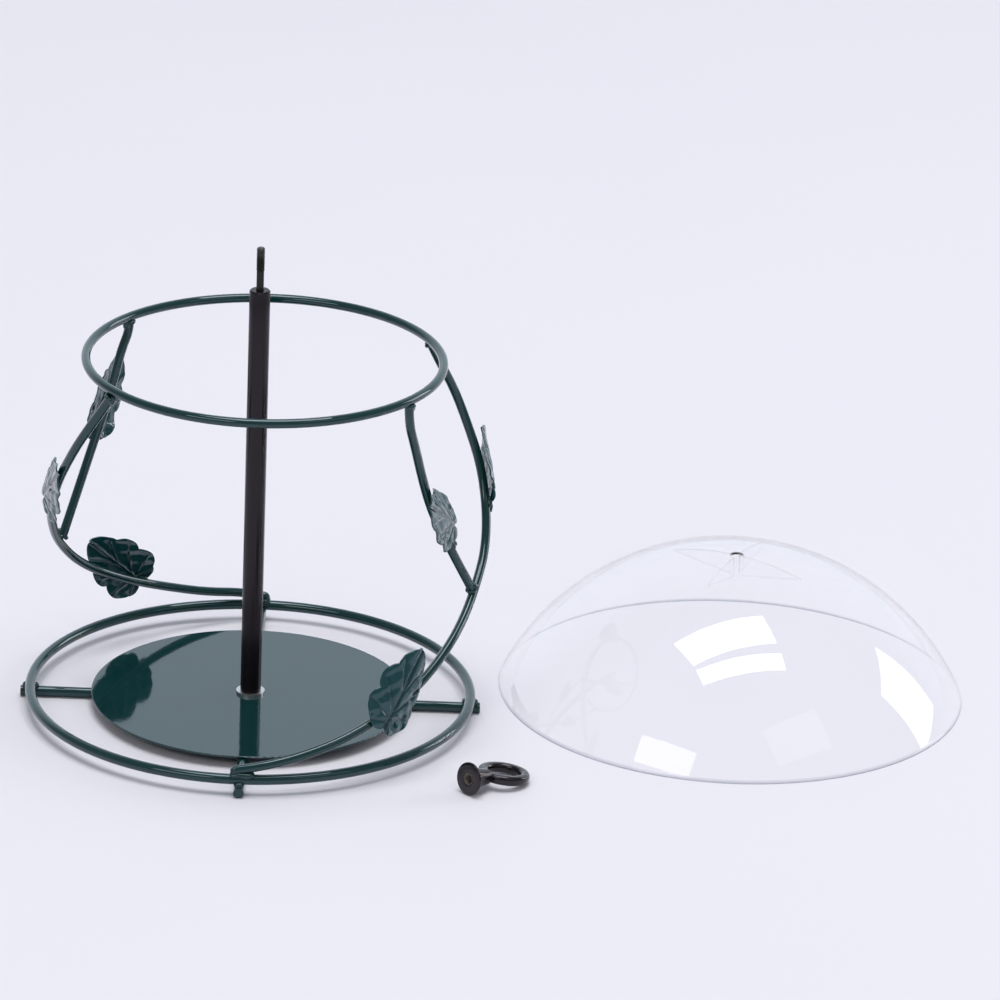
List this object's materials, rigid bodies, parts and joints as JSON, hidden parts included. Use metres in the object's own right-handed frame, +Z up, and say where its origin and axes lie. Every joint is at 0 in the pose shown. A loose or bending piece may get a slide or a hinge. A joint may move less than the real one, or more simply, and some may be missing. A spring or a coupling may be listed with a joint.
{
  "type": "bird feeder",
  "caption": "Wire cage bird feeder with climbing vines and leaves, a central post for a seed cylinder, and its clear rain dome and screw-on hanger ring set down beside it.",
  "frame": {"origin": "point of the floor under the axis of the post", "axes": "+Z up along the post, +X along the right-hand spoke towards the dome, +Y to the back"},
  "size_m": [0.5837, 0.3377, 0.2984],
  "materials": {
    "green_coat": "gloss powder coat",
    "black_coat": "satin",
    "bright_steel": "zinc plated",
    "dark_steel": "blackened",
    "clear_plastic": "clear polished",
    "black_plastic": "gloss moulded",
    "insert_metal": "turned"
  },
  "bodies": {
    "cage": {"base_ring": "green_coat", "spoke_right": "green_coat", "spoke_back": "green_coat", "spoke_left": "green_coat", "spoke_front": "green_coat", "seed_plate": "green_coat", "center_post": "black_coat", "post_washer": "bright_steel", "lock_washer": "bright_steel", "base_screw": "bright_steel", "hanger_stud": "dark_steel", "top_ring": "green_coat", "vine_right": "green_coat", "branch_right": "green_coat", "leaf_low_right": "green_coat", "leaf_high_right": "green_coat", "leaf_branch_right": "green_coat", "vine_left": "green_coat", "branch_left": "green_coat", "leaf_low_left": "green_coat", "leaf_high_left": "green_coat", "leaf_branch_left": "green_coat"},
    "dome": {"rain_dome": "clear_plastic"},
    "hanger": {"hanger_ring": "black_plastic", "thread_insert": "insert_metal"}
  },
  "joints": [
    {"name": "dome_lift", "type": "slide", "parent": "cage", "child": "dome", "axis": [0, 0, 1], "range_m": [0, 0.3]},
    {"name": "hanger_lift", "type": "slide", "parent": "cage", "child": "hanger", "axis": [0, 0, 1], "range_m": [0, 0.3]}
  ]
}
